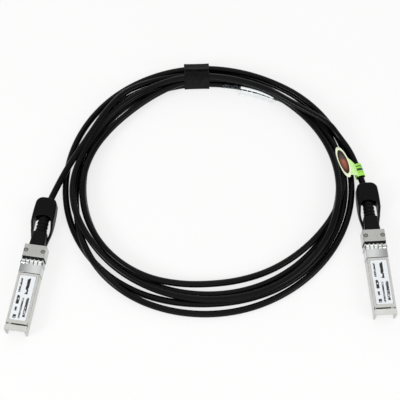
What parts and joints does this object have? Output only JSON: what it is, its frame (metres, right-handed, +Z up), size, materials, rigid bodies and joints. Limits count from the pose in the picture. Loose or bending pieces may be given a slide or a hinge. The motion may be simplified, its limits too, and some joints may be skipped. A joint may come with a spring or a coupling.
{
  "type": "direct attach copper cable",
  "caption": "Coiled twin-axial cable joining two pluggable metal modules, each with a ribbed boot, pull tab and contact card.",
  "frame": {"origin": "on the table under the middle of the two plugs", "axes": "+X from plug A to plug B, +Y from the contact ends towards the cable, +Z up"},
  "size_m": [0.2356, 0.1965, 0.0103],
  "materials": {
    "die_cast_zinc": "die-cast zinc, nickel plated, satin",
    "steel_rivets": "pressed steel",
    "spring_steel": "stamped stainless spring steel, bright",
    "conductive_rubber": "conductive silicone rubber, black, matt",
    "circuit_board": "glass epoxy laminate with solder mask",
    "gold_contacts": "hard gold plating",
    "chip_mouldings": "moulded epoxy",
    "wire_insulation": "foil screened twin-axial pairs",
    "hot_melt": "hot-melt block over the soldered pairs",
    "crimped_brass": "crimped sleeve",
    "moulded_boot": "moulded black thermoplastic, matt",
    "moulded_tab": "moulded black thermoplastic elastomer, matt",
    "stamped_steel": "stamped stainless steel",
    "spring_wire": "wound steel wire",
    "plug_label": "printed film, bare",
    "cable_jacket": "black PVC jacket, satin",
    "hook_and_loop": "woven nylon hook-and-loop",
    "paper_flag": "white film flag",
    "green_tag": "printed film wrap"
  },
  "bodies": {
    "cable": {"shell_lower_a": "die_cast_zinc", "shell_upper_a": "die_cast_zinc", "cover_rivets_a": "steel_rivets", "emi_collar_a": "spring_steel", "emi_gasket_a": "conductive_rubber", "card_a": "circuit_board", "card_pads_a": "gold_contacts", "card_chips_a": "chip_mouldings", "wire_pairs_a": "wire_insulation", "wire_block_a": "hot_melt", "ferrule_a": "crimped_brass", "strain_relief_a": "moulded_boot", "return_springs_a": "spring_wire", "label_a": "plug_label", "shell_lower_b": "die_cast_zinc", "shell_upper_b": "die_cast_zinc", "cover_rivets_b": "steel_rivets", "emi_collar_b": "spring_steel", "emi_gasket_b": "conductive_rubber", "card_b": "circuit_board", "card_pads_b": "gold_contacts", "card_chips_b": "chip_mouldings", "wire_pairs_b": "wire_insulation", "wire_block_b": "hot_melt", "ferrule_b": "crimped_brass", "strain_relief_b": "moulded_boot", "return_springs_b": "spring_wire", "label_b": "plug_label", "coil": "cable_jacket", "lead_a": "cable_jacket", "lead_b": "cable_jacket", "cable_tie": "hook_and_loop", "cable_flag": "paper_flag", "lead_tag": "green_tag"},
    "release_a": {"pull_tab_a": "moulded_tab", "release_slider_a": "stamped_steel"},
    "release_b": {"pull_tab_b": "moulded_tab", "release_slider_b": "stamped_steel"}
  },
  "joints": [
    {"name": "pull_a", "type": "slide", "parent": "cable", "child": "release_a", "axis": [0.1461, 0.9893, 0], "range_m": [0, 0.0025], "stiffness_N_per_m": 600, "deforming": ["return_springs_a"]},
    {"name": "pull_b", "type": "slide", "parent": "cable", "child": "release_b", "axis": [-0.0565, 0.9984, 0], "range_m": [0, 0.0025], "stiffness_N_per_m": 600, "deforming": ["return_springs_b"]}
  ]
}
